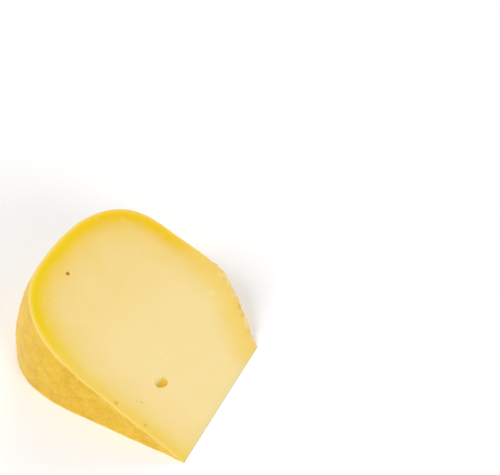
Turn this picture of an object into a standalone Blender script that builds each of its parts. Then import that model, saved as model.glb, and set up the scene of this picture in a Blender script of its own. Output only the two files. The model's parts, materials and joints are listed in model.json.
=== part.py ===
"""A wedge cut from a small semi-hard cheese wheel, lying on one of its two cut faces.

Metres, +Z up. The tip edge, where the two cuts meet at the wheel's middle, runs along Y at the +X end.
The rim is at the -X end. -Y is the wheel face that shows, here called the front, and +Y the back.
The lower cut face lies on z = 0, and the origin is under the middle of the wedge.

A point of the cut faces is (reach, across): its distance from the tip edge, and its distance from the
front face along that edge. A point of the solid adds turn, the angle above the lower cut face.
"""

import math
from dataclasses import dataclass

import bmesh
import bpy
from mathutils import Matrix, Vector, geometry, noise

MM = 0.001

WHEEL_RADIUS = 120 * MM
WHEEL_HEIGHT = 113 * MM
WEDGE_TURN = math.radians(29)
CUT_BOW = 0.5 * MM

# The corner at the back of the tip edge broke off when the wedge was pulled out of the wheel.
TORN_ALONG_TIP = 29 * MM
TORN_ALONG_BACK = 46 * MM
TORN_NEAR_TIP = (13 * MM, 93.5 * MM)
TORN_NEAR_BACK = (32 * MM, 112 * MM)
CRAG_HEIGHT = 1.2 * MM
CRAG_SIZE = 9 * MM
CRUMB_HEIGHT = 1 * MM
CRUMB_SIZE = 3.2 * MM
TORN_ZONE = 8 * MM
SHOULDER_DROP = 1.2 * MM

STEPS_TO_RIM = 30
STEPS_ACROSS = 26
STEPS_ROUND = 16
CURVE_SAMPLES = 240

MERGE_DISTANCE = 0.00002
EYE_RINGS = 3


@dataclass(frozen=True)
class WheelFace:
    """One of the wheel's two broad faces, and the corner that rounds it into the rim."""

    dome: float
    corner_reach: float
    corner_depth: float
    power: float

    def flat(self, reach):
        """How far the domed face has sunk at this distance from the tip edge."""
        return self.dome * (reach / (WHEEL_RADIUS - self.corner_reach)) ** 2

    def corner(self, share):
        """(reach, depth) on the corner, from the broad face at share 0 to the rim's widest line at 1."""
        turn = share * math.pi / 2
        root = 2 / self.power
        reach = WHEEL_RADIUS - self.corner_reach * (1 - math.sin(turn) ** root)
        depth = self.dome + self.corner_depth * (1 - math.cos(turn) ** root)
        return reach, depth


@dataclass(frozen=True)
class Eye:
    """A gas hole that the knife opened: its place on a cut face, its width there and its depth."""

    name: str
    reach: float
    across: float
    width: float
    depth: float
    on_upper_cut: bool = True


FRONT = WheelFace(dome=1 * MM, corner_reach=66 * MM, corner_depth=49 * MM, power=2.7)
BACK = WheelFace(dome=3 * MM, corner_reach=45 * MM, corner_depth=60 * MM, power=2.5)

EYES = (
    Eye("large_eye", 33 * MM, 29 * MM, 5.6 * MM, 2.3 * MM),
    Eye("pin_eye", 105 * MM, 46.5 * MM, 2.2 * MM, 1.6 * MM),
    Eye("lower_eye", 68 * MM, 71 * MM, 4.2 * MM, 1.9 * MM, on_upper_cut=False),
)


def clear_scene():
    for thing in list(bpy.data.objects):
        bpy.data.objects.remove(thing, do_unlink=True)


def cheese_material():
    material = bpy.data.materials.new("pressed_curd")
    material.use_nodes = True
    shader = material.node_tree.nodes["Principled BSDF"]
    shader.inputs["Base Color"].default_value = (0.91, 0.70, 0.29, 1)
    shader.inputs["Roughness"].default_value = 0.5
    shader.inputs["Metallic"].default_value = 0
    return material


def samples(start=0.0, end=1.0, count=CURVE_SAMPLES):
    return [start + (end - start) * i / count for i in range(count + 1)]


def front_side():
    """The front face's outline, from the tip edge to halfway round its corner."""
    flat_end = WHEEL_RADIUS - FRONT.corner_reach
    face = [(s * flat_end, FRONT.flat(s * flat_end)) for s in samples()]
    return face + [FRONT.corner(s) for s in samples(0, 0.5)[1:]]


def back_point(reach, depth):
    return reach, WHEEL_HEIGHT - depth


def torn_side():
    """The torn corner's outline, from the tip edge to the back face."""
    start = Vector((0, WHEEL_HEIGHT - TORN_ALONG_TIP))
    end = Vector(back_point(TORN_ALONG_BACK, BACK.flat(TORN_ALONG_BACK)))
    pulls = Vector(TORN_NEAR_TIP), Vector(TORN_NEAR_BACK)
    return [tuple(p) for p in geometry.interpolate_bezier(start, *pulls, end, CURVE_SAMPLES + 1)]


def back_side():
    """The torn corner's and the back face's outline, from the tip edge to halfway round the corner."""
    flat_end = WHEEL_RADIUS - BACK.corner_reach
    face = [TORN_ALONG_BACK + s * (flat_end - TORN_ALONG_BACK) for s in samples()]
    flat = [back_point(reach, BACK.flat(reach)) for reach in face]
    corner = [back_point(*BACK.corner(s)) for s in samples(0, 0.5)[1:]]
    return torn_side()[:-1] + flat + corner


def rim_side():
    """The rim's outline, from the front corner's middle to the back corner's middle."""
    front = [FRONT.corner(s) for s in samples(0.5, 1)]
    back = [back_point(*BACK.corner(s)) for s in samples(1, 0.5)[1:]]
    return front + back


def tip_side():
    """The tip edge, from the front face to the torn corner."""
    return [(0, s * (WHEEL_HEIGHT - TORN_ALONG_TIP)) for s in samples()]


def evenly(points, count):
    """The same line as count steps of equal length."""
    line = [Vector(p) for p in points]
    travelled = [0.0]
    for a, b in zip(line, line[1:]):
        travelled.append(travelled[-1] + (b - a).length)
    spaced = []
    at = 0
    for i in range(count + 1):
        wanted = travelled[-1] * i / count
        while at < len(line) - 2 and travelled[at + 1] < wanted:
            at += 1
        stretch = travelled[at + 1] - travelled[at]
        spaced.append(line[at].lerp(line[at + 1], (wanted - travelled[at]) / stretch))
    return spaced


def cut_face_points():
    """Rows of points that fill the cut face between its four sides (a Coons patch)."""
    front = evenly(front_side(), STEPS_TO_RIM)
    back = evenly(back_side(), STEPS_TO_RIM)
    tip = evenly(tip_side(), STEPS_ACROSS)
    rim = evenly(rim_side(), STEPS_ACROSS)
    rows = []
    for i in range(STEPS_TO_RIM + 1):
        s = i / STEPS_TO_RIM
        row = []
        for j in range(STEPS_ACROSS + 1):
            t = j / STEPS_ACROSS
            ruled = (1 - t) * front[i] + t * back[i] + (1 - s) * tip[j] + s * rim[j]
            corners = (1 - s) * ((1 - t) * front[0] + t * back[0])
            corners += s * ((1 - t) * front[-1] + t * back[-1])
            row.append(ruled - corners)
        rows.append(row)
    return rows


def solid_point(reach, across, turn, lift=0.0):
    """The point in space. lift raises it square to the cut face that it is on."""
    along = Vector((-math.cos(turn), 0, math.sin(turn)))
    square = Vector((math.sin(turn), 0, math.cos(turn)))
    return along * reach + square * lift + Vector((0, across, 0))


def bow_at(i, j):
    """The wire leaves the upper cut a little hollow in its middle."""
    return -CUT_BOW * math.sin(math.pi * i / STEPS_TO_RIM) * math.sin(math.pi * j / STEPS_ACROSS)


def add_cut_face(bm, rows, turn, bowed):
    """The grid of one cut face. It returns the grid's vertices, row by row."""
    grid = []
    for i, row in enumerate(rows):
        lifts = [bow_at(i, j) if bowed else 0.0 for j in range(len(row))]
        places = [solid_point(p.x, p.y, turn, lift) for p, lift in zip(row, lifts)]
        grid.append([bm.verts.new(place) for place in places])
    for near, far in zip(grid, grid[1:]):
        for j in range(len(near) - 1):
            bm.faces.new((near[j], near[j + 1], far[j + 1], far[j]))
    return grid


def outline_of(grid):
    """The cut face's edge that carries rind or the torn corner, from one end of the tip edge to the other."""
    return [row[0] for row in grid] + grid[-1][1:-1] + [row[-1] for row in reversed(grid)]


def spin_outline(bm, outline):
    """The rind and the torn corner: the lower cut's outline turned about the tip edge."""
    copies = [bm.verts.new(v.co) for v in outline]
    edges = [bm.edges.new(pair) for pair in zip(copies, copies[1:])]
    bmesh.ops.spin(
        bm,
        geom=copies + edges,
        cent=(0, 0, 0),
        axis=(0, 1, 0),
        angle=WEDGE_TURN,
        steps=STEPS_ROUND,
        use_duplicate=False,
    )


def torn_distance(reach, across, curve):
    """Distance from the torn corner's outline."""
    here = Vector((reach, across))
    return min((here - point).length for point in curve)


def smooth_step(value):
    share = min(max(value, 0.0), 1.0)
    return share * share * (3 - 2 * share)


def roughen_torn_corner(bm):
    """Crags and crumbs on the torn corner, and a shoulder where the upper cut rolls down to it."""
    curve = [Vector(p) for p in torn_side()[::4]]
    chord = curve[-1] - curve[0]
    outward = Vector((-chord.y, chord.x)).normalized()
    for vert in bm.verts:
        reach = math.hypot(vert.co.x, vert.co.z)
        away = torn_distance(reach, vert.co.y, curve)
        if away > TORN_ZONE or reach < MERGE_DISTANCE:
            continue
        turn = math.atan2(vert.co.z, -vert.co.x)
        ends = smooth_step(reach / TORN_ZONE) * smooth_step((TORN_ALONG_BACK - reach) / TORN_ZONE)
        fade = (1 - smooth_step(away / TORN_ZONE)) * ends
        crag = noise.noise(vert.co / CRAG_SIZE) * CRAG_HEIGHT
        crumb = noise.noise(vert.co / CRUMB_SIZE) * CRUMB_HEIGHT
        move = outward * (crag + crumb) * fade
        drop = SHOULDER_DROP * fade * smooth_step(2 * turn / WEDGE_TURN - 1)
        vert.co = solid_point(reach + move.x, vert.co.y + move.y, turn, -drop)


def wedge_mesh():
    bm = bmesh.new()
    rows = cut_face_points()
    lower = add_cut_face(bm, rows, 0.0, bowed=False)
    add_cut_face(bm, rows, WEDGE_TURN, bowed=True)
    spin_outline(bm, outline_of(lower))
    bmesh.ops.remove_doubles(bm, verts=bm.verts, dist=MERGE_DISTANCE)
    bmesh.ops.dissolve_degenerate(bm, edges=bm.edges, dist=MERGE_DISTANCE)
    roughen_torn_corner(bm)
    bmesh.ops.recalc_face_normals(bm, faces=bm.faces)
    mesh = bpy.data.meshes.new("cheese_wedge")
    bm.to_mesh(mesh)
    bm.free()
    return mesh


def add_object(name, mesh):
    thing = bpy.data.objects.new(name, mesh)
    bpy.context.scene.collection.objects.link(thing)
    return thing


def eye_cutter(eye):
    """A ball that meets the cut face in a circle of the eye's width, at the eye's depth."""
    radius = (eye.width**2 / 4 + eye.depth**2) / (2 * eye.depth)
    bm = bmesh.new()
    bmesh.ops.create_icosphere(bm, subdivisions=EYE_RINGS, radius=radius)
    mesh = bpy.data.meshes.new(eye.name)
    bm.to_mesh(mesh)
    bm.free()
    cutter = add_object(eye.name, mesh)
    if eye.on_upper_cut:
        cutter.location = solid_point(eye.reach, eye.across, WEDGE_TURN, radius - eye.depth - CUT_BOW / 2)
    else:
        cutter.location = solid_point(eye.reach, eye.across, 0.0, eye.depth - radius)
    cutter.hide_render = True
    cutter.display_type = "WIRE"
    return cutter


def cut_eyes(wedge):
    for eye in EYES:
        cut = wedge.modifiers.new(eye.name, "BOOLEAN")
        cut.operation = "DIFFERENCE"
        cut.solver = "EXACT"
        cut.object = eye_cutter(eye)


def stand_over_origin(wedge):
    """Moves the wedge and its cutters so that the origin is under the middle of its box."""
    corners = [wedge.matrix_world @ Vector(c) for c in wedge.bound_box]
    middle = (Vector(map(min, zip(*corners))) + Vector(map(max, zip(*corners)))) / 2
    shift = Matrix.Translation((-middle.x, -middle.y, 0))
    for thing in bpy.data.objects:
        thing.matrix_world = shift @ thing.matrix_world


def main():
    clear_scene()
    wedge = add_object("cheese_wedge", wedge_mesh())
    wedge.data.materials.append(cheese_material())
    wedge.data.shade_smooth()
    wedge.data.set_sharp_from_angle(angle=math.radians(35))
    cut_eyes(wedge)
    bpy.context.view_layer.update()
    stand_over_origin(wedge)


main()
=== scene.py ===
"""The looks of a wedge of young semi-hard cheese that lies on one of its two cut faces.

The wedge is a slice out of a wheel. Its tip edge, where the two cuts meet, runs along Y at the +X end, the
rim is at the -X end, and the wheel's two broad faces look to -Y (front) and +Y (back). Rind covers the rim
and both broad faces, and the corner at the back of the tip edge is torn off.

A place on a cut face is (reach, across): how far it is from the tip edge, and how far from the front face.
"""

import json
import logging
import math
import random
import sys
from collections.abc import Callable, Sequence
from dataclasses import dataclass
from enum import Enum

import bmesh
import bpy
import numpy as np
from bpy.types import Material, Node, NodeSocket, NodeTree, Object
from mathutils import Matrix, Vector, geometry, noise

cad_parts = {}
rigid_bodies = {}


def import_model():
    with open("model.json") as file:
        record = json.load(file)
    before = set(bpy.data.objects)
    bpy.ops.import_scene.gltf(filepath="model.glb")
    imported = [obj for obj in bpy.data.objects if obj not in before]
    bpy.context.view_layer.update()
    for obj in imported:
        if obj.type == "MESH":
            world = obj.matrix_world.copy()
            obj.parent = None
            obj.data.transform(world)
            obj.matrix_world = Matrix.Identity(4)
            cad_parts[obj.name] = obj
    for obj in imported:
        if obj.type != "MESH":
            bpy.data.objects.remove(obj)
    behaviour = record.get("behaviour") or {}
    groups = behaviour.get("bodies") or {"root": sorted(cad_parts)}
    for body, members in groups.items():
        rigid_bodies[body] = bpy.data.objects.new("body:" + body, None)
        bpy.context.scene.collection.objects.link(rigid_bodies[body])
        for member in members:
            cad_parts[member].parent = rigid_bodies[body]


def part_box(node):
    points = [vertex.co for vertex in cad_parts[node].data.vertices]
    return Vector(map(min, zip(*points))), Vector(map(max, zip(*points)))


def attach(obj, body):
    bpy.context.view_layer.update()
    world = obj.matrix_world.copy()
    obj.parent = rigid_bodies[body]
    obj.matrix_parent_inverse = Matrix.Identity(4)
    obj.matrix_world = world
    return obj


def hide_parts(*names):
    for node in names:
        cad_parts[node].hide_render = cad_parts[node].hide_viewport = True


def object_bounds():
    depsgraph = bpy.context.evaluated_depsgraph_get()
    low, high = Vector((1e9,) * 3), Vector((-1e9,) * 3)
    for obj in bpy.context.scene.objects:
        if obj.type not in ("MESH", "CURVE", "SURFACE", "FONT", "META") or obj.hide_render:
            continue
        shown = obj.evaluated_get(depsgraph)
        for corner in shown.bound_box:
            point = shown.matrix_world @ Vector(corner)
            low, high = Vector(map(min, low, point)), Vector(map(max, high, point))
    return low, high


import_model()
cad_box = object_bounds()

LOG = logging.getLogger("cheese_wedge")
MM = 0.001
# The angle between the two cuts.
WEDGE_TURN = math.radians(29)
# Vertices closer than MERGE are one, and closer than TOUCH counts as on a face.
MERGE = 0.001 * MM
TOUCH = 0.003 * MM
# Settings of the nodes that step smoothly, mix colours, and multiply.
SMOOTH = {"interpolation_type": "SMOOTHSTEP"}
COLOUR = {"data_type": "RGBA"}
TIMES = {"operation": "MULTIPLY"}
TIMES_PLUS = {"operation": "MULTIPLY_ADD"}


class Cut(Enum):
    """The two faces that the wire left."""

    LOWER = 0
    UPPER = 1


class Zone(Enum):
    """The material slots of the wedge, in their order."""

    PASTE = 0
    RIND = 1


def srgb(hex_colour: str) -> tuple[float, float, float, float]:
    """The linear colour that a socket takes, from six hex digits of sRGB."""
    parts = [int(hex_colour[i : i + 2], 16) / 255 for i in (0, 2, 4)]
    linear = [c / 12.92 if c <= 0.04045 else ((c + 0.055) / 1.055) ** 2.4 for c in parts]
    return (*linear, 1.0)


def smooth_step(values: np.ndarray | float, start: float, end: float) -> np.ndarray:
    """Rises smoothly from 0 at start to 1 at end.

    Args:
        values: Where to read the step.
        start: The value at which it leaves 0.
        end: The value at which it reaches 1. It may be below start.

    Returns:
        The step at each value.
    """
    share = np.clip((np.asarray(values, dtype=float) - start) / (end - start), 0, 1)
    return share * share * (3 - 2 * share)


def set_inputs(tree: NodeTree, node: Node, inputs: dict[int | str, object]) -> None:
    """Sets a node's inputs.

    Args:
        tree: The material's node tree.
        node: The node.
        inputs: Values and links by input name or number. A socket is linked, anything else is set.
    """
    for key, value in inputs.items():
        if isinstance(value, NodeSocket):
            tree.links.new(value, node.inputs[key])
        else:
            node.inputs[key].default_value = value


def add_node(
    tree: NodeTree,
    kind: str,
    props: dict[str, object] | None = None,
    inputs: dict[int | str, object] | Sequence[object] = (),
    output: int | str = 0,
) -> NodeSocket:
    """Adds one shader node.

    Args:
        tree: The material's node tree.
        kind: The node's Blender type.
        props: Properties to set on the node.
        inputs: Values and links, in the order of the inputs or by their name or number.
        output: The name or number of the output to return.

    Returns:
        That output.
    """
    node = tree.nodes.new(kind)
    for name, value in (props or {}).items():
        setattr(node, name, value)
    set_inputs(tree, node, inputs if isinstance(inputs, dict) else dict(enumerate(inputs)))
    return node.outputs[output]


def new_material(name: str) -> tuple[Material, NodeTree, Node]:
    """Makes a material, named for the real one, and returns it with its node tree and its shader."""
    material = bpy.data.materials.new(name)
    material.use_nodes = True
    return material, material.node_tree, material.node_tree.nodes["Principled BSDF"]


@dataclass(frozen=True)
class WheelFace:
    """One broad face of the wheel, slightly domed, with the corner that rounds it into the rim."""

    dome: float
    corner_reach: float
    corner_depth: float
    power: float

    def flat(self, reach: np.ndarray, radius: float) -> np.ndarray:
        """Depth of the domed face under the tip edge's end, at each reach."""
        return self.dome * (reach / (radius - self.corner_reach)) ** 2

    def corner(self, share: np.ndarray, radius: float) -> np.ndarray:
        """Points round the corner.

        Args:
            share: From 0 at the broad face to 1 at the rim's widest line.
            radius: The wheel's radius.

        Returns:
            Rows of (reach, depth).
        """
        turn = share * math.pi / 2
        root = 2 / self.power
        reach = radius - self.corner_reach * (1 - np.sin(turn) ** root)
        depth = self.dome + self.corner_depth * (1 - np.abs(np.cos(turn)) ** root)
        return np.stack([reach, depth], axis=1)


@dataclass(frozen=True)
class CutOutline:
    """The outline of a cut face: tip edge, front face, rim, back face and torn corner.

    Each side is given as rows of (reach, across).
    """

    radius: float = 120 * MM
    height: float = 113 * MM
    front: WheelFace = WheelFace(1 * MM, 66 * MM, 49 * MM, 2.7)
    back: WheelFace = WheelFace(3 * MM, 45 * MM, 60 * MM, 2.5)
    torn_along_tip: float = 29 * MM
    torn_along_back: float = 46 * MM
    torn_near_tip: tuple[float, float] = (13 * MM, 93.5 * MM)
    torn_near_back: tuple[float, float] = (32 * MM, 112 * MM)
    samples: int = 600

    def front_side(self) -> np.ndarray:
        """The front face and its whole corner, from the tip edge to the rim's widest line."""
        reach = np.linspace(0, self.radius - self.front.corner_reach, self.samples)
        flat = np.stack([reach, self.front.flat(reach, self.radius)], axis=1)
        return np.concatenate([flat, self.front.corner(np.linspace(0, 1, self.samples)[1:], self.radius)])

    def back_side(self) -> np.ndarray:
        """The back face and its whole corner, from the rim's widest line to the torn corner."""
        corner = self.back.corner(np.linspace(1, 0, self.samples), self.radius)
        reach = np.linspace(self.radius - self.back.corner_reach, self.torn_along_back, self.samples)[1:]
        flat = np.stack([reach, self.back.flat(reach, self.radius)], axis=1)
        side = np.concatenate([corner, flat])
        side[:, 1] = self.height - side[:, 1]
        return side

    def rind_side(self) -> np.ndarray:
        """All of the outline that carries rind, from the tip edge's front end to the torn corner."""
        return np.concatenate([self.front_side(), self.back_side()])

    def torn_side(self) -> np.ndarray:
        """The torn corner, from the back face to the tip edge."""
        depth = float(self.back.flat(np.array(self.torn_along_back), self.radius))
        start = Vector((0, self.height - self.torn_along_tip))
        end = Vector((self.torn_along_back, self.height - depth))
        pulls = Vector(self.torn_near_tip), Vector(self.torn_near_back)
        curve = geometry.interpolate_bezier(start, *pulls, end, self.samples)
        return np.array([tuple(point) for point in reversed(curve)])

    def tip_side(self) -> np.ndarray:
        """The tip edge, from the torn corner to the front face."""
        across = np.linspace(self.height - self.torn_along_tip, 0, self.samples)
        return np.stack([np.zeros_like(across), across], axis=1)


def evenly(line: np.ndarray, spacing: float) -> np.ndarray:
    """Points at equal steps along a line.

    Args:
        line: Rows of points.
        spacing: About how far apart the points are.

    Returns:
        Rows of points from the line's start, without its end.
    """
    steps = np.linalg.norm(np.diff(line, axis=0), axis=1)
    run = np.concatenate([[0], np.cumsum(steps)])
    at = np.linspace(0, run[-1], max(2, round(run[-1] / spacing)) + 1)[:-1]
    return np.stack([np.interp(at, run, line[:, axis]) for axis in (0, 1)], axis=1)


def nearest(points: np.ndarray, line: np.ndarray, stride: int = 12) -> tuple[np.ndarray, np.ndarray]:
    """Distance from a line.

    Args:
        points: Rows of points.
        line: Rows of points close together on the line.
        stride: Every so many of the line's points are tried first, and then those around the best.

    Returns:
        The distance of each point, and the number of the line's point that it is nearest to.
    """
    batch = 8000
    index = np.empty(len(points), dtype=int)
    for first in range(0, len(points), batch):
        part = points[first : first + batch]
        apart = np.linalg.norm(part[:, None, :] - line[None, ::stride, :], axis=2)
        index[first : first + batch] = apart.argmin(axis=1) * stride
    around = np.clip(index[:, None] + np.arange(-stride, stride + 1), 0, len(line) - 1)
    apart = np.linalg.norm(points[:, None, :] - line[around], axis=2)
    index = around[np.arange(len(points)), apart.argmin(axis=1)]
    distance = apart.min(axis=1)
    for before, after in ((index - 1, index), (index, index + 1)):
        start = line[np.clip(before, 0, len(line) - 1)]
        along = line[np.clip(after, 0, len(line) - 1)] - start
        length = np.maximum((along**2).sum(axis=1), 1e-18)
        share = np.clip(((points - start) * along).sum(axis=1) / length, 0, 1)
        distance = np.minimum(distance, np.linalg.norm(points - start - share[:, None] * along, axis=1))
    return distance, index


@dataclass(frozen=True)
class WedgeSpace:
    """Where the wedge's own measures lie in the frame."""

    tip_x: float
    front_y: float
    turn: float = WEDGE_TURN

    def angle(self, cut: Cut) -> float:
        """How far that cut face is turned up from the lower one."""
        return self.turn if cut is Cut.UPPER else 0.0

    def place(self, reach: float, across: float, turn: float) -> Vector:
        """The point in the frame, at an angle above the lower cut face."""
        return Vector((self.tip_x - reach * math.cos(turn), self.front_y + across, reach * math.sin(turn)))

    def measure(self, points: np.ndarray) -> tuple[np.ndarray, np.ndarray]:
        """The wedge's own measures of points in the frame.

        Args:
            points: Rows of x, y, z.

        Returns:
            Rows of (reach, across), and each point's angle above the lower cut face.
        """
        away = self.tip_x - points[:, 0]
        reach = np.hypot(away, points[:, 2])
        return np.stack([reach, points[:, 1] - self.front_y], axis=1), np.arctan2(points[:, 2], away)

    def upward(self, cut: Cut) -> np.ndarray:
        """The direction out of the cheese, square to that cut face."""
        if cut is Cut.LOWER:
            return np.array([0.0, 0.0, -1.0])
        return np.array([math.sin(self.turn), 0.0, math.cos(self.turn)])

    def towards(self, cut: Cut, reach: float, across: float) -> np.ndarray:
        """The direction in the frame of a step on that cut face."""
        turn = self.angle(cut)
        return np.array([-math.cos(turn) * reach, across, math.sin(turn) * reach])


@dataclass(frozen=True)
class Eye:
    """A gas hole or pit that the wire opened, in millimetres.

    A slant gives the bowl a gentle side, lit by painted light, and undercuts the side across from it. The
    gentle side lies away from the tip edge, turned by slant_turn degrees towards the back face. Shade says
    how dark the bowl's painted shade gets, pale how strong the painted light on its gentle side and lip is,
    and fineness how often the mesh round it is split.
    """

    reach: float
    across: float
    width: float
    depth: float
    cut: Cut = Cut.UPPER
    stretch: float = 1.0
    slant: float = 0.0
    slant_turn: float = 0.0
    shade: float = 0.4
    pale: float = 0.0
    fineness: int = 3


EYES: tuple[Eye, ...] = (
    Eye(33.4, 29.6, 7.3, 2.1, slant=0.5, slant_turn=6, shade=0.58, pale=0.4, fineness=4),
    Eye(105.1, 46.8, 1.45, 1.3, shade=0.78, fineness=4),
    Eye(112.4, 28.6, 0.8, 0.2, shade=0.2),
    Eye(104.3, 26.7, 1.1, 0.2, shade=0.15),
    Eye(45.6, 3.6, 2.0, 0.5, shade=0.32),
    Eye(35.0, 13.3, 1.5, 0.15, shade=0.18),
    Eye(37.3, 12.1, 1.3, 0.12, shade=0.1),
    Eye(26.9, 3.8, 1.9, 0.4, shade=0.24),
    Eye(68.0, 71.0, 4.4, 2.0, cut=Cut.LOWER, stretch=1.1, slant=0.3, shade=0.6, fineness=4),
    Eye(92.0, 33.0, 1.6, 1.0, cut=Cut.LOWER, shade=0.8, fineness=4),
    Eye(30.0, 52.0, 1.1, 0.5, cut=Cut.LOWER),
    Eye(51.0, 24.0, 0.9, 0.4, cut=Cut.LOWER),
)


@dataclass(frozen=True)
class PalePatch:
    """A light fleck of curd in a cut face, in millimetres."""

    reach: float
    across: float
    width: float
    strength: float
    cut: Cut = Cut.UPPER
    fineness: int = 2


PALE_PATCHES: tuple[PalePatch, ...] = (
    PalePatch(97.9, 15.9, 3.0, 0.22),
    PalePatch(99.3, 13.2, 2.0, 0.15),
    PalePatch(36.6, 94.1, 5.6, 0.5),
    PalePatch(39.0, 92.3, 4.0, 0.35),
    PalePatch(35.2, 96.4, 3.0, 0.3),
    PalePatch(111.1, 85.6, 3.6, 0.2),
    PalePatch(100.1, 96.0, 4.6, 0.15),
    PalePatch(97.0, 96.5, 3.8, 0.12),
    PalePatch(90.1, 103.1, 3.2, 0.12),
    PalePatch(77.9, 104.8, 4.4, 0.12),
    PalePatch(39.4, 107.2, 4.4, 0.5),
    PalePatch(37.0, 105.2, 2.8, 0.3),
)

# A faint light scratch in the middle of the upper cut, as a row of small flecks.
SCRATCH: tuple[PalePatch, ...] = tuple(
    PalePatch(44.6 - 0.61 * step, 44.2 - 0.11 * step, 1.5, 0.55, fineness=3) for step in range(15)
)


@dataclass(frozen=True)
class PressedCurd:
    """The paste: pressed, wire-cut curd of a young cheese.

    It is dense, slightly translucent and has a low greasy sheen, and it turns a deeper yellow in the last
    few millimetres under the rind. The bands hold depths in millimetres and their colours, and the painted
    eye shade tones say from where to where in an eye's painted shade each colour comes in. The eyes' bowls
    get painted shade, and the fleck tone also paints light on their gentle sides and lips.
    """

    # In both bands the stop at the rind is lighter: a light edge line, partly the bare cut edge and partly
    # a painted highlight on the rounded arris.
    strong_band: tuple[tuple[float, str], ...] = (
        (0.0, "f6d678"),
        (0.8, "f7d86c"),
        (1.8, "f5d440"),
        (2.8, "f4d11a"),
        (4.6, "f2ce1c"),
        (7.0, "f2ce40"),
        (9.5, "f2cf5e"),
        (13.0, "f3d274"),
        (18.0, "f3d582"),
        (28.0, "f4d88a"),
    )
    weak_band: tuple[tuple[float, str], ...] = (
        (0.0, "f6d574"),
        (0.7, "f3d366"),
        (1.4, "f2d162"),
        (3.8, "f3d265"),
        (6.0, "f3d478"),
        (9.5, "f4d888"),
        (14.0, "f5d990"),
        (22.0, "f6dc98"),
        (28.0, "f7de9c"),
    )
    # Painted shade in the eyes: where in an eye's shade value each colour starts and ends.
    painted_eye_shade_tones: tuple[tuple[float, float, str], ...] = (
        (0.0, 0.35, "e0c246"),
        (0.35, 0.6, "fac63a"),
        (0.6, 1.0, "a07824"),
    )
    band_span: float = 30.0
    band_lean: float = -0.2
    orange: str = "fff7fa"
    dried: str = "f4d26a"
    cloud: str = "fae6b4"
    torn_deep: str = "efc050"
    torn_light: str = "fbdf9e"
    # The fleck tone also paints light on each eye's gentle side and a painted highlight on its lip.
    fleck: str = "fde6b2"

    def ramp(self, tree: NodeTree, stops: Sequence[tuple[float, str]], share: NodeSocket) -> NodeSocket:
        """A colour by depth under the rind.

        Args:
            tree: The material's node tree.
            stops: Depths in millimetres and their colours.
            share: The depth as a share of band_span.

        Returns:
            The colour.
        """
        colour = add_node(tree, "ShaderNodeValToRGB", inputs=(share,))
        elements = colour.node.color_ramp.elements
        while len(elements) < len(stops):
            elements.new(0.5)
        for element, (depth, tone) in zip(elements, stops):
            element.position = depth / self.band_span
            element.color = srgb(tone)
        return colour

    def build(self) -> Material:
        """Makes the material."""
        material, tree, shader = new_material("pressed_curd")
        place = add_node(tree, "ShaderNodeTexCoord", output="Object")
        depth, torn, from_torn, painted_eye_shade, pale = (
            add_node(tree, "ShaderNodeAttribute", {"attribute_name": name}, output="Fac")
            for name in ("under_rind", "torn", "from_torn", "painted_eye_shade", "pale")
        )
        # The size of each pattern's forms in millimetres, its detail and its roughness.
        forms = {
            "wander": (9, 3.0, 0.5),
            "clouds": (14, 4.0, 0.5),
            "grain": (1.6, 3.0, 0.5),
            "lumps": (4, 4.0, 0.65),
        }
        patterns = {}
        for name, (size, detail, rough) in forms.items():
            settings = {"Vector": place, "Scale": 1 / (size * MM), "Detail": detail, "Roughness": rough}
            patterns[name] = add_node(tree, "ShaderNodeTexNoise", inputs=settings)

        # The band's inner edge wanders by about a millimetre, and stays put at the coat itself.
        room = add_node(tree, "ShaderNodeMapRange", inputs=(depth, 1.2, 6.0, 0.0, 5.0))
        offset = add_node(tree, "ShaderNodeMath", {"operation": "SUBTRACT"}, (patterns["wander"], 0.5))
        warped = add_node(tree, "ShaderNodeMath", TIMES_PLUS, (offset, room, depth))
        share = add_node(tree, "ShaderNodeMath", {"operation": "DIVIDE"}, (warped, self.band_span))
        weak, strong = (self.ramp(tree, band, share) for band in (self.weak_band, self.strong_band))

        # The band is strong round the rim and weak towards the tip edge.
        x, y, _ = add_node(tree, "ShaderNodeSeparateXYZ", inputs=(place,)).node.outputs
        along = add_node(tree, "ShaderNodeMath", TIMES_PLUS, (y, self.band_lean, x))
        strength = add_node(tree, "ShaderNodeMapRange", SMOOTH, (along, 20 * MM, -22 * MM))

        # Towards the back face it is a little more orange.
        back = add_node(tree, "ShaderNodeMapRange", inputs=(y, 5 * MM, 35 * MM))
        banded = add_node(tree, "ShaderNodeMapRange", inputs=(depth, 14.0, 6.0))
        orange = add_node(tree, "ShaderNodeMath", TIMES, (back, banded))

        # The paste dried a little and turned deeper beside the tear.
        dried = add_node(tree, "ShaderNodeMapRange", SMOOTH, (from_torn, 24.0, 4.0))

        # Curd that was milled and pressed again keeps faint clouds of lighter and deeper paste.
        cloudy = add_node(tree, "ShaderNodeMapRange", inputs=(patterns["clouds"], 0.35, 0.65, 0.0, 0.14))
        inner = add_node(tree, "ShaderNodeMapRange", inputs=(depth, 6.0, 18.0))
        cloudy = add_node(tree, "ShaderNodeMath", TIMES, (cloudy, inner))

        # The torn face shows light and deep lumps of curd.
        lumpy = add_node(tree, "ShaderNodeMapRange", inputs=(patterns["lumps"], 0.35, 0.65))
        lumps = {0: lumpy, 6: srgb(self.torn_deep), 7: srgb(self.torn_light)}
        torn_tone = add_node(tree, "ShaderNodeMix", COLOUR, lumps, output=2)
        torn = add_node(tree, "ShaderNodeMath", TIMES, (torn, 0.75))

        layers = [
            ("MIX", strength, strong),
            ("MULTIPLY", orange, srgb(self.orange)),
            ("MIX", dried, srgb(self.dried)),
            ("MIX", cloudy, srgb(self.cloud)),
            ("MIX", torn, torn_tone),
            # Pale flecks of curd, and painted light on the eyes' gentle sides and lips.
            ("MIX", pale, srgb(self.fleck)),
        ]
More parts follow.
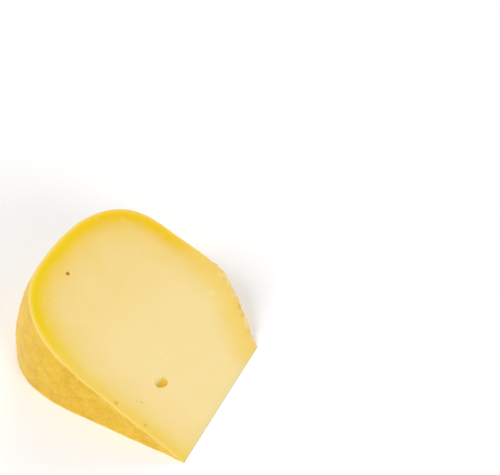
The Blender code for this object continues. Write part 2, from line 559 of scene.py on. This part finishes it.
        # Painted shade down the eyes' bowls and in the pits.
        for start, end, tone in self.painted_eye_shade_tones:
            share = add_node(tree, "ShaderNodeMapRange", inputs=(painted_eye_shade, start, end))
            layers.append(("MIX", share, srgb(tone)))
        colour = weak
        for blend, share, tint in layers:
            settings = COLOUR | {"blend_type": blend}
            colour = add_node(tree, "ShaderNodeMix", settings, {0: share, 6: colour, 7: tint}, output=2)

        # The wire drags fine streaks along the cut, and the curd's own grain shows between them.
        stretched = (1 / (30 * MM), 1 / (0.9 * MM), 1 / (30 * MM))
        drawn_out = add_node(tree, "ShaderNodeMapping", inputs={"Vector": place, "Scale": stretched})
        settings = {"Vector": drawn_out, "Scale": 1.0, "Detail": 2.0}
        streaks = add_node(tree, "ShaderNodeTexNoise", inputs=settings)
        relief = add_node(tree, "ShaderNodeMath", TIMES_PLUS, (patterns["grain"], 0.6, streaks))
        settings = {"Height": relief, "Strength": 0.12, "Distance": 0.2 * MM}
        sheen = (patterns["clouds"], 0.3, 0.7, 0.42, 0.55)
        finish = {
            "Base Color": colour,
            "Normal": add_node(tree, "ShaderNodeBump", inputs=settings),
            "Roughness": add_node(tree, "ShaderNodeMapRange", inputs=sheen),
            "IOR": 1.44,
            "Specular IOR Level": 0.2,
            "Subsurface Weight": 0.25,
            "Subsurface Radius": (0.8, 0.6, 0.3),
            "Subsurface Scale": 2.5 * MM,
        }
        set_inputs(tree, shader, finish)
        return material


@dataclass(frozen=True)
class CoatedRind:
    """The rind: dried curd under a thin, clear yellow food coat.

    It is satin and a little wrinkled. The coat pools in golden blotches and is rubbed thin in duller, peach
    ones, most of all round the rim and near the tip edge. Fine pale specks show where the curds meet, and a
    light line runs along the edge of each cut: partly bare curd at the coat's cut edge, partly a painted
    highlight on the rounded arris.
    """

    thick: str = "e0ae08"
    thin: str = "e8bb10"
    dry: str = "f1c952"
    speck: str = "f4cf7e"
    # The arris tone is the light edge line, partly bare curd and partly a painted highlight.
    arris: str = "f5d478"

    def build(self) -> Material:
        """Makes the material."""
        material, tree, shader = new_material("coated_rind")
        place = add_node(tree, "ShaderNodeTexCoord", output="Object")
        from_cut = add_node(tree, "ShaderNodeAttribute", {"attribute_name": "from_cut"}, output="Fac")
        # The size of each pattern's forms in millimetres, its detail and its roughness.
        forms = {
            "blotches": (11, 4.0, 0.55),
            "patches": (6, 4.0, 0.62),
            "speckle": (1.1, 3.0, 0.65),
            "wrinkles": (3, 4.0, 0.6),
        }
        patterns = {}
        for name, (size, detail, rough) in forms.items():
            settings = {"Vector": place, "Scale": 1 / (size * MM), "Detail": detail, "Roughness": rough}
            patterns[name] = add_node(tree, "ShaderNodeTexNoise", inputs=settings)
        speckle = patterns["speckle"]
        thin = add_node(tree, "ShaderNodeMapRange", SMOOTH, (patterns["blotches"], 0.38, 0.62))

        # The coat is worn most round the rim and near the tip edge.
        along = add_node(tree, "ShaderNodeSeparateXYZ", inputs=(place,), output="X")
        rim = add_node(tree, "ShaderNodeMapRange", SMOOTH, (along, -15 * MM, -50 * MM))
        tip = add_node(tree, "ShaderNodeMapRange", SMOOTH, (along, 2 * MM, 34 * MM, 0.0, 0.9))
        ends = add_node(tree, "ShaderNodeMath", {"operation": "MAXIMUM"}, (rim, tip))
        patches = add_node(tree, "ShaderNodeMath", TIMES_PLUS, (ends, 0.06, patterns["patches"]))
        worn = add_node(tree, "ShaderNodeMapRange", SMOOTH, (patches, 0.4, 0.7))
        most = add_node(tree, "ShaderNodeMapRange", inputs=(ends, 0.0, 1.0, 0.65, 0.85))
        worn = add_node(tree, "ShaderNodeMath", TIMES, (worn, most))
        specks = add_node(tree, "ShaderNodeMapRange", inputs=(speckle, 0.5, 0.72, 0.0, 0.25))
        colour = srgb(self.thick)
        for share, tone in ((thin, self.thin), (worn, self.dry), (specks, self.speck)):
            colour = add_node(tree, "ShaderNodeMix", COLOUR, {0: share, 6: colour, 7: srgb(tone)}, output=2)
        tone = add_node(tree, "ShaderNodeMapRange", inputs=(speckle, 0.3, 0.7, 0.9, 1.045))
        colour = add_node(tree, "ShaderNodeVectorMath", {"operation": "SCALE"}, {0: colour, "Scale": tone})

        # The light line, partly bare curd and partly a painted highlight on the rounded arris, is broken
        # where the coat is thick.
        line = add_node(tree, "ShaderNodeMapRange", SMOOTH, (from_cut, 1.5, 0.3, 0.0, 0.9))
        uneven = add_node(tree, "ShaderNodeMapRange", inputs=(thin, 0.0, 1.0, 0.45, 1.0))
        line = add_node(tree, "ShaderNodeMath", TIMES, (line, uneven))
        lined = {0: line, 6: colour, 7: srgb(self.arris)}
        colour = add_node(tree, "ShaderNodeMix", COLOUR, lined, output=2)

        relief = add_node(tree, "ShaderNodeMath", TIMES_PLUS, (speckle, 0.5, patterns["wrinkles"]))
        settings = {"Height": relief, "Strength": 0.35, "Distance": 0.4 * MM}
        finish = {
            "Base Color": colour,
            "Normal": add_node(tree, "ShaderNodeBump", inputs=settings),
            "Roughness": add_node(tree, "ShaderNodeMapRange", inputs=(patches, 0.4, 0.65, 0.36, 0.52)),
            "IOR": 1.47,
            "Specular IOR Level": 0.24,
            "Subsurface Weight": 0.15,
            "Subsurface Radius": (1.0, 0.55, 0.2),
            "Subsurface Scale": 1.8 * MM,
        }
        set_inputs(tree, shader, finish)
        return material


def pick(*pieces: Object) -> None:
    """Leaves only these pieces selected, and makes the first the active one."""
    bpy.ops.object.select_all(action="DESELECT")
    for piece in pieces:
        piece.select_set(True)
    bpy.context.view_layer.objects.active = pieces[0]


def select_faces(piece: Object, wanted: Callable[[np.ndarray], np.ndarray]) -> None:
    """Selects faces by their middle, in edit mode.

    Args:
        piece: The object in edit mode.
        wanted: Says of rows of face middles which faces are selected.
    """
    bpy.ops.mesh.select_mode(type="FACE")
    bpy.ops.mesh.select_all(action="DESELECT")
    mesh = bmesh.from_edit_mesh(piece.data)
    mesh.faces.ensure_lookup_table()
    middles = np.array([face.calc_center_median() for face in mesh.faces])
    for number in np.nonzero(wanted(middles))[0]:
        mesh.faces[int(number)].select_set(True)
    mesh.select_flush_mode()
    bmesh.update_edit_mesh(piece.data)


def settle_order(piece: Object) -> None:
    """Orders a mesh by where its vertices lie, in edit mode, so that every run builds the same one."""
    mesh = bmesh.from_edit_mesh(piece.data)
    mesh.verts.index_update()
    places = np.array([vertex.co for vertex in mesh.verts])
    count = len(places)
    order = np.empty(count, dtype=int)
    order[np.lexsort(places.T)] = np.arange(count)
    ranks = order.tolist()

    def rank(element: bmesh.types.BMEdge | bmesh.types.BMFace) -> float:
        """One number from an edge's or face's lowest vertices."""
        number = 0
        for lowest in sorted(vertex.index for vertex in element.verts)[:3]:
            number = number * count + lowest
        return float(number)

    mesh.verts.sort(key=lambda vertex: float(ranks[vertex.index]))
    mesh.verts.index_update()
    for elements in (mesh.edges, mesh.faces):
        elements.sort(key=rank)
        elements.index_update()
    bmesh.update_edit_mesh(piece.data)
    bpy.ops.object.mode_set(mode="OBJECT")
    bpy.ops.object.mode_set(mode="EDIT")


def read_points(piece: Object) -> np.ndarray:
    """The vertices of a mesh as rows of x, y, z."""
    points = np.empty(len(piece.data.vertices) * 3)
    piece.data.vertices.foreach_get("co", points)
    return points.reshape(-1, 3)


def write_points(piece: Object, points: np.ndarray) -> None:
    """Puts rows of x, y, z back into a mesh."""
    piece.data.vertices.foreach_set("co", points.ravel())
    piece.data.update()


def keep_in_box(piece: Object) -> None:
    """Pulls vertices back that stand out of the frame's box."""
    write_points(piece, np.clip(read_points(piece), cad_box[0], cad_box[1]))


def write_value(piece: Object, name: str, values: np.ndarray) -> None:
    """Stores one number for each vertex."""
    store = piece.data.attributes.new(name, "FLOAT", "POINT")
    store.data.foreach_set("value", values.astype(np.float32))


def read_value(piece: Object, name: str) -> np.ndarray:
    """The number stored for each vertex."""
    values = np.empty(len(piece.data.vertices))
    piece.data.attributes[name].data.foreach_get("value", values)
    return values


@dataclass(frozen=True)
class Relief:
    """Fine forms raised along the normals, by one of Blender's textures.

    Middle is the texture value that stays in place. At 1 the relief only sinks in.
    """

    name: str
    pattern: str
    size: float
    height: float
    middle: float = 0.5

    def press(self, piece: Object, weights: np.ndarray) -> None:
        """Shapes a piece with a Displace modifier, and applies it.

        Args:
            piece: The object.
            weights: How much of the relief each vertex gets.
        """
        group = piece.vertex_groups.new(name=self.name)
        for index in np.nonzero(weights > 0.001)[0]:
            group.add([int(index)], float(weights[index]), "REPLACE")
        texture = bpy.data.textures.new(self.name, self.pattern)
        texture.noise_scale = self.size
        modifier = piece.modifiers.new(self.name, "DISPLACE")
        modifier.texture = texture
        modifier.texture_coords = "LOCAL"
        modifier.vertex_group = self.name
        modifier.strength = self.height
        modifier.mid_level = self.middle
        bpy.context.view_layer.objects.active = piece
        bpy.ops.object.modifier_apply(modifier=self.name)
        piece.vertex_groups.remove(piece.vertex_groups[self.name])


@dataclass(frozen=True)
class Survey:
    """What the vertices of the plain wedge measure, before anything moves them.

    Place holds rows of (reach, across), turn the angles above the lower cut face, and inward the step in
    (reach, across) away from the nearest rind. The distances are from rind, tear and the nearer cut.
    """

    place: np.ndarray
    turn: np.ndarray
    inward: np.ndarray
    under_rind: np.ndarray
    from_torn: np.ndarray
    from_cut: np.ndarray
    on_cut: dict[Cut, np.ndarray]

    def off_tip(self) -> np.ndarray:
        """Fades relief out at the tip edge, where the wedge is thin."""
        return smooth_step(self.place[:, 0], 1 * MM, 10 * MM)


@dataclass
class WedgeBody:
    """Paste and rind of the wedge, grown together in one closed mesh.

    The ring depths are shares of ring_span, from the outline to the centre. The turns are angles of the
    fine steps beside each cut.
    """

    outline: CutOutline
    space: WedgeSpace
    eyes: tuple[Eye, ...]
    pale_patches: tuple[PalePatch, ...]
    rind_spacing: float = 1.0 * MM
    torn_spacing: float = 0.9 * MM
    tip_spacing: float = 1.2 * MM
    centre: tuple[float, float] = (60 * MM, 54 * MM)
    ring_depths: tuple[float, ...] = (
        0.15, 0.35, 0.7, 1.3, 2.2, 3.4, 5, 7, 9.5, 12.5, 16, 20, 24.5, 29.5, 35, 41, 47, 52
    )
    ring_span: float = 57.0
    first_turns: tuple[float, ...] = (0.0012, 0.0018, 0.003, 0.005, 0.008)
    middle_turns: int = 34
    arris: float = 0.35 * MM
    arris_share: float = 0.12
    dent: float = 0.6 * MM
    dent_sizes: tuple[float, float] = (13 * MM, 4.5 * MM)
    break_width: float = 3.0 * MM
    break_reach: float = 9 * MM
    break_sizes: tuple[float, float] = (5 * MM, 1.7 * MM)
    shoulder_width: float = 5.5 * MM
    shoulder_drop: float = 0.7 * MM
    torn_fade: float = 4.5 * MM
    wrinkles: Relief = Relief("rind_wrinkles", "CLOUDS", 3 * MM, 0.18 * MM, 1.0)
    waves: Relief = Relief("wire_waves", "CLOUDS", 28 * MM, 0.7 * MM, 1.0)
    crags: tuple[Relief, ...] = (
        Relief("torn_crags", "CLOUDS", 7 * MM, 3.2 * MM),
        Relief("torn_curds", "VORONOI", 2.6 * MM, 1.0 * MM),
        Relief("torn_crumb", "CLOUDS", 0.9 * MM, 0.5 * MM),
    )

    def loop(self) -> np.ndarray:
        """The whole outline once round, from the front end of the tip edge."""
        outline = self.outline
        sides = (
            (outline.rind_side(), self.rind_spacing),
            (outline.torn_side(), self.torn_spacing),
            (outline.tip_side(), self.tip_spacing),
        )
        return np.concatenate([evenly(side, spacing) for side, spacing in sides])

    def model_cut(self) -> Object:
        """The lower cut face, as rings drawn in from its outline."""
        loop = self.loop()
        bpy.ops.mesh.primitive_circle_add(vertices=len(loop), fill_type="NOTHING")
        body = bpy.context.object
        body.name = body.data.name = "wedge_body"
        for vertex, (reach, across) in zip(body.data.vertices, loop):
            vertex.co = self.space.place(reach, across, 0.0)
        bpy.ops.object.mode_set(mode="EDIT")
        bpy.ops.mesh.select_all(action="SELECT")
        middle = self.space.place(*self.centre, 0.0)
        size = 1.0
        for depth in self.ring_depths:
            wanted = 1 - depth / self.ring_span
            bpy.ops.mesh.extrude_region_move()
            bpy.ops.transform.resize(value=(wanted / size,) * 3, center_override=middle)
            size = wanted
        bpy.ops.mesh.edge_face_add()
        bpy.ops.mesh.poke()
        return body

    def spin_up(self) -> None:
        """Turns the cut face about the tip edge, in fine steps near both cuts."""
        rest = self.space.turn - 2 * sum(self.first_turns)
        bpy.ops.mesh.select_all(action="SELECT")
        turns = [(1, angle) for angle in self.first_turns]
        for steps, angle in [*turns, (self.middle_turns, rest), *reversed(turns)]:
            bpy.ops.mesh.spin(
                steps=steps,
                angle=-angle,
                center=(self.space.tip_x, 0, 0),
                axis=(0, 1, 0),
                use_auto_merge=False,
            )
        bpy.ops.mesh.select_all(action="SELECT")
        bpy.ops.mesh.remove_doubles(threshold=MERGE)
        bpy.ops.mesh.normals_make_consistent(inside=False)

    def refine(self, body: Object) -> None:
        """Subdivides round each eye and fleck and at the torn corner, where the small forms are.

        Args:
            body: The wedge in edit mode.
        """
        torn = self.outline.torn_side()

        def near_torn(middles: np.ndarray) -> np.ndarray:
            """Which faces are close to the torn corner."""
            return nearest(self.space.measure(middles)[0], torn)[0] < self.torn_fade

        select_faces(body, near_torn)
        bpy.ops.mesh.subdivide(number_cuts=1, ngon=False)
        spots = (*self.eyes, *self.pale_patches)
        for level in range(max(spot.fineness for spot in spots)):

            def near_spots(middles: np.ndarray) -> np.ndarray:
                """Which faces are close to a spot, on its own cut, that is still to be refined."""
                chosen = np.zeros(len(middles), dtype=bool)
                for spot in spots:
                    angle = self.space.angle(spot.cut)
                    middle = self.space.place(spot.reach * MM, spot.across * MM, angle)
                    offset = middles - np.array(middle)
                    span = spot.width * MM * (0.75 + 0.35 * (spot.fineness - level))
                    close = np.linalg.norm(offset, axis=1) < span
                    flat = np.abs(offset @ self.space.upward(spot.cut)) < 0.05 * MM
                    chosen |= close & flat & (level < spot.fineness)
                return chosen

            select_faces(body, near_spots)
            bpy.ops.mesh.subdivide(number_cuts=1, ngon=False)

    def survey(self, points: np.ndarray) -> Survey:
        """Measures the plain wedge's vertices."""
        place, turn = self.space.measure(points)
        line = self.outline.rind_side()
        under_rind, index = nearest(place, line)
        ahead = line[np.minimum(index + 2, len(line) - 1)] - line[np.maximum(index - 2, 0)]
        ahead /= np.linalg.norm(ahead, axis=1, keepdims=True)
        return Survey(
            place=place,
            turn=turn,
            inward=np.stack([-ahead[:, 1], ahead[:, 0]], axis=1),
            under_rind=under_rind,
            from_torn=nearest(place, self.outline.torn_side())[0],
            from_cut=place[:, 0] * np.sin(np.minimum(turn, self.space.turn - turn).clip(0)),
            on_cut={cut: place[:, 0] * np.abs(turn - self.space.angle(cut)) < TOUCH for cut in Cut},
        )

    def round_arris(self, points: np.ndarray, at: Survey) -> None:
        """Rounds the edge between each cut face and the rind.

        Args:
            points: The vertices, which are moved.
            at: What they measured.
        """
        reach, distance = at.place[:, 0], at.under_rind
        for cut in Cut:
            height = reach * np.sin(np.abs(at.turn - self.space.angle(cut)))
            radius = np.minimum(self.arris, self.arris_share * reach * self.space.turn) + 1e-9
            face = (height < MERGE) & (distance < radius)
            wall = (distance < TOUCH) & (height < radius) & ~face
            from_face = math.pi / 4 * (1 - distance / radius)
            from_wall = math.pi / 4 * (1 + height / radius)
            lean = np.where(face, from_face, from_wall)
            inset = radius * (1 - np.sin(lean)) - np.where(face, distance, 0.0)
            sink = radius * (1 - np.cos(lean)) - np.where(wall, height, 0.0)
            moved = face | wall
            along = np.stack([self.space.towards(cut, 1.0, 0.0), self.space.towards(cut, 0.0, 1.0)])
            points[moved] += (at.inward[moved] @ along) * inset[moved, None]
            points[moved] -= self.space.upward(cut) * sink[moved, None]

    def dent_rind(self, points: np.ndarray, at: Survey) -> None:
        """Presses shallow dents and flats into the rind and the arris beside it.

        Args:
            points: The vertices, which are moved.
            at: What they measured.
        """
        large, small = self.dent_sizes
        weight = smooth_step(at.under_rind, 3 * MM, 0) * smooth_step(at.place[:, 0], 2 * MM, 12 * MM)
        for index in np.nonzero(weight > 0)[0]:
            spot = Vector(points[index])
            depth = 0.5 + 0.45 * noise.noise(spot / large) + 0.3 * noise.noise(spot / small)
            reach, across = at.inward[index] * max(depth, 0.0) * weight[index] * self.dent
            sine, cosine = math.sin(at.turn[index]), math.cos(at.turn[index])
            points[index] += (-cosine * reach, across, sine * reach)

    def break_rind(self, points: np.ndarray, at: Survey) -> None:
        """Makes the line uneven where the back face's rind breaks off at the torn corner.

        Args:
            points: The vertices, which are moved.
            at: What they measured.
        """
        large, small = self.break_sizes
        away = np.linalg.norm(at.place - self.outline.torn_side()[0], axis=1)
        weight = smooth_step(away, self.break_reach, 0) * self.break_width
        for index in np.nonzero(weight > 0)[0]:
            turn = at.turn[index]
            level = self.outline.torn_along_back * turn
            slide = noise.noise((0, 0, level / large)) + 0.5 * noise.noise((0, 5, level / small))
            slide *= weight[index]
            points[index] += (-math.cos(turn) * slide, 0, math.sin(turn) * slide)

    def sink_eyes(self, points: np.ndarray, at: Survey) -> tuple[np.ndarray, np.ndarray]:
        """Presses each eye's bowl into its cut face.

        Args:
            points: The vertices, which are moved.
            at: What they measured.

        Returns:
            The painted shade of each vertex in an eye, and the painted light on each eye's gentle side and
            lip.
        """
        painted_eye_shade = np.zeros(len(points))
        pale = np.zeros(len(points))
        for number, eye in enumerate(self.eyes):
            offset = (at.place - np.array([eye.reach, eye.across]) * MM) / (eye.width * MM / 2)
            offset[:, 0] /= eye.stretch
            angle = np.arctan2(offset[:, 1], offset[:, 0])
            # No eye's outline is quite round.
            uneven = 1 - 0.08 * np.sin(2 * angle + number) + 0.03 * np.sin(3 * angle + 2.1 * number)
            share = np.hypot(offset[:, 0], offset[:, 1]) / uneven
            inside = at.on_cut[eye.cut] & (share < 1)
            heading = math.radians(eye.slant_turn)
            facing = np.cos(angle[inside] - heading)
            slanted = min(1.0, 2 * eye.slant)
            # The wall is steep all round, apart from the gentle side.
            gentle = (1 + facing) / 2 * slanted
            sunk = np.clip(1 - share[inside] ** 2.6, 0, 1) ** (0.5 + gentle)
            bowl = sunk * eye.depth * MM
            points[inside] -= self.space.upward(eye.cut) * bowl[:, None]
            lean = self.space.towards(eye.cut, math.cos(heading), math.sin(heading)) * -eye.slant
            points[inside] += lean * bowl[:, None]
            # Painted shade deepens down the bowl and fades out on the gentle side, which gets painted light
            # instead, and the lip gets a painted highlight.
            light = smooth_step(share[inside] * facing, -0.5, 0.75) * slanted
            dark = eye.shade * (1 - light) * smooth_step(sunk, 0.1, 0.75)
            painted_eye_shade[inside] = np.maximum(painted_eye_shade[inside], dark)
            pale[inside] = np.maximum(pale[inside], eye.pale * light * smooth_step(sunk, 0.9, 0.2))
            lip = at.on_cut[eye.cut] & (share >= 0.95) & (share < 1.6)
            pale[lip] = np.maximum(pale[lip], eye.pale * smooth_step(share[lip], 1.5, 1.05))
        return painted_eye_shade, pale

    def drop_shoulder(self, points: np.ndarray, at: Survey) -> None:
        """Rolls the upper cut face down where it meets the torn corner, by moving the points."""
        drop = smooth_step(at.from_torn, self.shoulder_width, 0) * at.off_tip() * self.shoulder_drop
        drop *= smooth_step(at.turn / self.space.turn, 0.5, 1.0)
        points -= self.space.upward(Cut.UPPER) * drop[:, None]

    def flecks(self, at: Survey) -> np.ndarray:
        """How light the flecks of pale curd make each vertex, from 0 for plain paste to 1."""
        light = np.zeros(len(at.place))
        for patch in self.pale_patches:
            away = np.linalg.norm(at.place - np.array([patch.reach, patch.across]) * MM, axis=1)
            spot = smooth_step(away, patch.width * MM / 2, 0) * patch.strength
            light = np.maximum(light, np.where(at.on_cut[patch.cut], spot, 0))
        return light

    def press_reliefs(self, body: Object, at: Survey) -> None:
        """Adds the wrinkles of the rind, the waves that the wire left and the crags of the tear.

        Args:
            body: The wedge.
            at: What its vertices measured.
        """
        rind = (at.under_rind < TOUCH) * smooth_step(at.from_cut, 0.3 * MM, 4 * MM)
        self.wrinkles.press(body, rind)
        inside = at.on_cut[Cut.UPPER] & (np.minimum(at.under_rind, at.from_torn) > TOUCH)
        waved = smooth_step(at.under_rind, 0.5 * MM, 6 * MM) * smooth_step(at.from_torn, 3 * MM, 14 * MM)
        self.waves.press(body, inside * waved * at.off_tip())
        torn = smooth_step(at.from_torn, self.torn_fade, 0) * smooth_step(at.under_rind, 0.2 * MM, 3 * MM)
        torn *= at.off_tip() * (0.75 + 0.25 * smooth_step(at.from_cut, 0, 5 * MM))
        for relief in self.crags:
            relief.press(body, torn)

    def model(self) -> Object:
        """Builds the mesh, with its relief and the values that its materials read.

        Returns:
            The wedge.
        """
        body = self.model_cut()
        self.spin_up()
        settle_order(body)
        self.refine(body)
        settle_order(body)
        bpy.ops.object.mode_set(mode="OBJECT")

        points = read_points(body)
        at = self.survey(points)
        self.round_arris(points, at)
        self.dent_rind(points, at)
        self.break_rind(points, at)
        painted_eye_shade, pale = self.sink_eyes(points, at)
        self.drop_shoulder(points, at)
        write_points(body, points)
        values = {
            "under_rind": at.under_rind / MM,
            "from_cut": at.from_cut / MM,
            "from_torn": at.from_torn / MM,
            "torn": smooth_step(at.from_torn, self.torn_fade, 0.5 * MM),
            "painted_eye_shade": painted_eye_shade,
            "pale": np.maximum(pale, self.flecks(at)),
        }
        for name, numbers in values.items():
            write_value(body, name, numbers)
        self.press_reliefs(body, at)
        keep_in_box(body)
        return body

    def dress(self, body: Object, finishes: Sequence[Material]) -> None:
        """Gives rind to the faces that carry it and paste to the rest.

        Args:
            body: The wedge.
            finishes: The paste and the rind, in the order of Zone.
        """
        for finish in finishes:
            body.data.materials.append(finish)
        under_rind = read_value(body, "under_rind")
        from_cut = read_value(body, "from_cut")
        for face in body.data.polygons:
            corners = list(face.vertices)
            on_rind = under_rind[corners].max() < TOUCH / MM and from_cut[corners].max() > MERGE / MM
            face.material_index = Zone.RIND.value if on_rind else Zone.PASTE.value
        pick(body)
        bpy.ops.object.shade_smooth_by_angle(angle=math.radians(40))


@dataclass
class TornCrumbs:
    """Loose crumbs of curd that cling to the torn corner.

    The first ones sit along its upper edge, at edge_shares of the way from the back face to the tip edge.
    """

    outline: CutOutline
    space: WedgeSpace
    edge_shares: tuple[float, ...] = (0.2, 0.316, 0.36, 0.405, 0.42, 0.53, 0.64, 0.75)
    count: int = 70
    smallest: float = 0.35 * MM
    largest: float = 0.95 * MM
    proportions: tuple[tuple[float, float], ...] = ((0.8, 1.25), (0.8, 1.25), (0.6, 0.95))
    seed: int = 7

    def model_one(self) -> Object:
        """One crumb, lumpy and a unit in radius."""
        bpy.ops.mesh.primitive_ico_sphere_add(subdivisions=2, radius=1.0)
        crumb = bpy.context.object
        bpy.ops.object.mode_set(mode="EDIT")
        bpy.ops.mesh.select_all(action="SELECT")
        bpy.ops.mesh.vertices_smooth(factor=0.3)
        bpy.ops.object.mode_set(mode="OBJECT")
        Relief("lumps", "CLOUDS", 0.7, 0.7).press(crumb, np.ones(len(crumb.data.vertices)))
        return crumb

    def model(self, body: Object) -> Object:
        """Scatters copies of one crumb over the torn corner and joins them.

        Args:
            body: The finished wedge that they cling to.

        Returns:
            The joined crumbs.
        """
        crumb = self.model_one()
        draw = random.Random(self.seed)
        torn = self.outline.torn_side()
        copies = []
        for number in range(self.count):
            share = draw.uniform(0, 0.86)
            turn = self.space.turn * draw.uniform(0, 1)
            if number < len(self.edge_shares):
                share, turn = self.edge_shares[number], self.space.turn
            reach, across = torn[int(share * (len(torn) - 1))]
            found, where, normal, _ = body.closest_point_on_mesh(self.space.place(reach, across, turn))
            radius = draw.uniform(self.smallest, self.largest) * draw.uniform(0.7, 1.0)
            size = Vector([draw.uniform(*limits) for limits in self.proportions]) * radius
            lie = normal.to_track_quat("Z", "Y").to_matrix().to_4x4()
            lie = lie @ Matrix.Rotation(draw.uniform(0, math.tau), 4, "Z")
            if not found or where.z < radius:
                continue
            copy = crumb.copy()
            copy.data = crumb.data.copy()
            bpy.context.collection.objects.link(copy)
            seat = Matrix.Translation(where - normal * radius * 0.25)
            copy.data.transform(seat @ lie @ Matrix.Diagonal((*size, 1)))
            copies.append(copy)
        bpy.data.objects.remove(crumb)
        pick(*copies)
        bpy.ops.object.join()
        crumbs = bpy.context.object
        crumbs.name = crumbs.data.name = "torn_crumbs"
        keep_in_box(crumbs)
        return crumbs

    def dress(self, crumbs: Object, finish: Material) -> None:
        """Gives the joined crumbs the finish of the torn paste."""
        crumbs.data.materials.append(finish)
        values = {"under_rind": 9.0, "from_torn": 3.0, "torn": 0.9, "painted_eye_shade": 0.0, "pale": 0.4}
        for name, value in values.items():
            write_value(crumbs, name, np.full(len(crumbs.data.vertices), value))
        pick(crumbs)
        bpy.ops.object.shade_smooth()


@dataclass(frozen=True)
class SoftBox:
    """A square soft white light."""

    name: str
    place: tuple[float, float, float]
    power: float
    size: float = 1.6

    def build(self, aim: Vector) -> None:
        """Adds the light, turned to look at a point."""
        data = bpy.data.lights.new(self.name, "AREA")
        data.shape = "SQUARE"
        data.size = self.size
        data.energy = self.power
        lamp = bpy.data.objects.new(self.name, data)
        lamp.location = self.place
        lamp.rotation_euler = (aim - Vector(self.place)).to_track_quat("-Z", "Y").to_euler()
        bpy.context.scene.collection.objects.link(lamp)


@dataclass(frozen=True)
class Studio:
    """A pale floor, soft lights and the camera, which is placed by its right and up directions."""

    floor_colour: str = "ffffff"
    floor_size: float = 8.0
    floor_drop: float = 0.05 * MM
    fill: float = 0.465
    aim: tuple[float, float, float] = (0.0, 0.0, 0.03)
    camera_place: tuple[float, float, float] = (0.25846, -0.39446, 0.57069)
    camera_right: tuple[float, float, float] = (0.8967, 0.4425, 0.0089)
    camera_up: tuple[float, float, float] = (-0.3243, 0.6432, 0.6936)
    lens: float = 97.444
    lights: tuple[SoftBox, ...] = (
        SoftBox("key_light", (2.56, -1.14, 1.14), 42.0),
        SoftBox("left_light", (-1.84, -1.20, 2.00), 42.0),
        SoftBox("back_light", (-0.60, 2.30, 1.70), 18.0),
    )

    def build_floor(self) -> None:
        """Adds a plain pale floor, a hair below what stands on it."""
        bpy.ops.mesh.primitive_plane_add(size=self.floor_size, location=(0, 0, 0))
        floor = bpy.context.object
        floor.name = floor.data.name = "studio_floor"
        floor.data.transform(Matrix.Translation((0, 0, -self.floor_drop)))
        material, tree, shader = new_material("matt_white_board")
        finish = {"Base Color": srgb(self.floor_colour), "Roughness": 0.9, "Specular IOR Level": 0.1}
        set_inputs(tree, shader, finish)
        floor.data.materials.append(material)

    def build_camera(self) -> None:
        """Adds the camera, at the height and side from which the wedge is seen."""
        data = bpy.data.cameras.new("studio_camera")
        data.sensor_fit = "HORIZONTAL"
        data.sensor_width = 36
        data.lens = self.lens
        data.clip_start = 0.01
        camera = bpy.data.objects.new("studio_camera", data)
        right = Vector(self.camera_right).normalized()
        up = Vector(self.camera_up).normalized()
        turned = Matrix((right, up, right.cross(up))).transposed().to_4x4()
        camera.matrix_world = Matrix.Translation(self.camera_place) @ turned
        bpy.context.scene.collection.objects.link(camera)
        bpy.context.scene.camera = camera

    def build(self) -> None:
        """Sets up the floor, the lights, the sky and the camera."""
        self.build_floor()
        for light in self.lights:
            light.build(Vector(self.aim))
        world = bpy.data.worlds.new("soft_room")
        world.use_nodes = True
        sky = {"Color": srgb(self.floor_colour), "Strength": self.fill}
        set_inputs(world.node_tree, world.node_tree.nodes["Background"], sky)
        bpy.context.scene.world = world
        bpy.context.scene.view_settings.view_transform = "Standard"
        self.build_camera()


def main() -> None:
    """Builds the wedge, its crumbs and the studio."""
    logging.basicConfig(level=logging.INFO, format="%(name)s: %(message)s", stream=sys.stdout)
    low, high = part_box("cheese_wedge")
    outline = CutOutline()
    space = WedgeSpace(tip_x=high[0], front_y=low[1])
    paste = PressedCurd().build()
    rind = CoatedRind().build()

    wedge = WedgeBody(outline, space, EYES, PALE_PATCHES + SCRATCH)
    body = wedge.model()
    wedge.dress(body, (paste, rind))
    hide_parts("cheese_wedge")
    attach(body, "root")
    LOG.info("wedge body: %d faces", len(body.data.polygons))

    scatter = TornCrumbs(outline, space)
    crumbs = scatter.model(body)
    scatter.dress(crumbs, paste)
    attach(crumbs, "root")
    LOG.info("torn crumbs: %d faces", len(crumbs.data.polygons))

    Studio().build()
    LOG.info("studio: floor, lights and camera")


if __name__ == "__main__":
    main()
